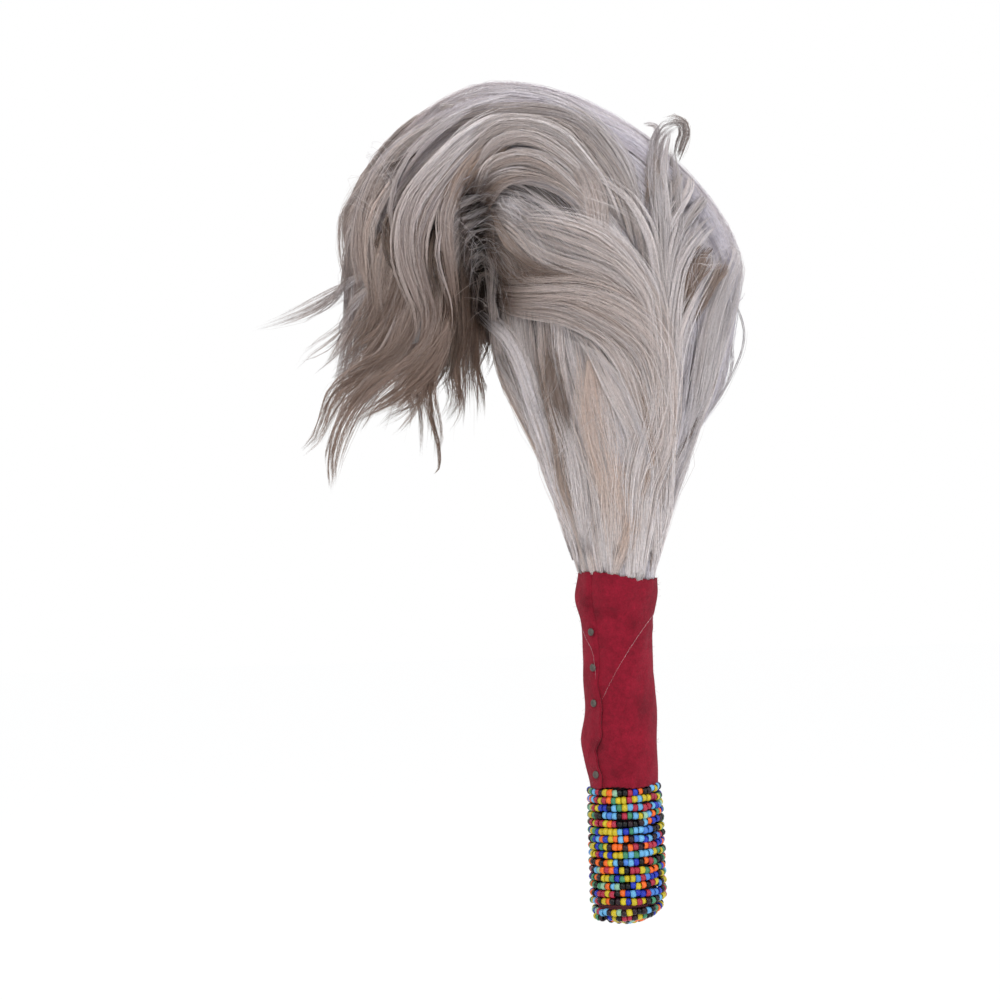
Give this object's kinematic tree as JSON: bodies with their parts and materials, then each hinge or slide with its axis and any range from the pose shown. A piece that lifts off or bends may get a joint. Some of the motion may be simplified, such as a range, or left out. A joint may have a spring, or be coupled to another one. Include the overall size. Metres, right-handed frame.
{
  "type": "fly whisk",
  "caption": "Hand-held fly whisk: a stick in a beaded cloth grip, with a long-haired animal tail tacked on under a red cloth sleeve.",
  "frame": {"origin": "middle of the beaded grip, on the stick's axis", "axes": "+Z along the stick towards the hair, -X towards the side on which the hair falls over, -Y towards the side that shows the sleeve's tacked seam"},
  "size_m": [0.2108, 0.0922, 0.3675],
  "materials": {
    "stick_wood": "carved hardwood, dull",
    "underlay_cloth": "dark maroon cotton cloth",
    "seed_beads": "opaque glass seed beads of many colours, glossy",
    "rawhide": "dried tail skin, matte",
    "sinew_thread": "twisted sinew thread",
    "red_felt": "worn crimson wool felt, matte with fuzz",
    "tack_iron": "dull browned iron",
    "tail_hair": "long pale animal hair, satin sheen, darker at the tips"
  },
  "bodies": {
    "handle": {"wood_core": "stick_wood", "bead_underlay": "underlay_cloth", "bead_row_01": "seed_beads", "bead_row_02": "seed_beads", "bead_row_03": "seed_beads", "bead_row_04": "seed_beads", "bead_row_05": "seed_beads", "bead_row_06": "seed_beads", "bead_row_07": "seed_beads", "bead_row_08": "seed_beads", "bead_row_09": "seed_beads", "bead_row_10": "seed_beads", "bead_row_11": "seed_beads", "bead_row_12": "seed_beads", "bead_row_13": "seed_beads", "bead_row_14": "seed_beads", "bead_row_15": "seed_beads", "butt_bead_ring_1": "seed_beads", "butt_bead_ring_2": "seed_beads", "butt_bead_ring_3": "seed_beads", "butt_bead_ring_4": "seed_beads", "butt_bead_ring_5": "seed_beads", "tail_hide": "rawhide", "root_binding": "sinew_thread", "sleeve_wrap": "red_felt", "seam_tack_1": "tack_iron", "seam_tack_2": "tack_iron", "seam_tack_3": "tack_iron", "seam_tack_4": "tack_iron", "hair_root": "tail_hair"},
    "tail": {"hair_bundle_1": "tail_hair", "hair_bundle_2": "tail_hair", "hair_bundle_3": "tail_hair", "hair_bundle_4": "tail_hair", "hair_bundle_5": "tail_hair", "side_wisp_1": "tail_hair", "side_wisp_2": "tail_hair", "side_wisp_3": "tail_hair", "top_tuft": "tail_hair"}
  },
  "joints": [
    {"name": "tail_sway", "type": "hinge", "parent": "handle", "child": "tail", "pos_m": [0, 0, 0.11855], "axis": [0, 1, 0], "range_deg": [-40, 40], "stiffness_Nm_per_rad": 1.2, "springref_deg": 5.1, "deforming": ["hair_root"]}
  ]
}
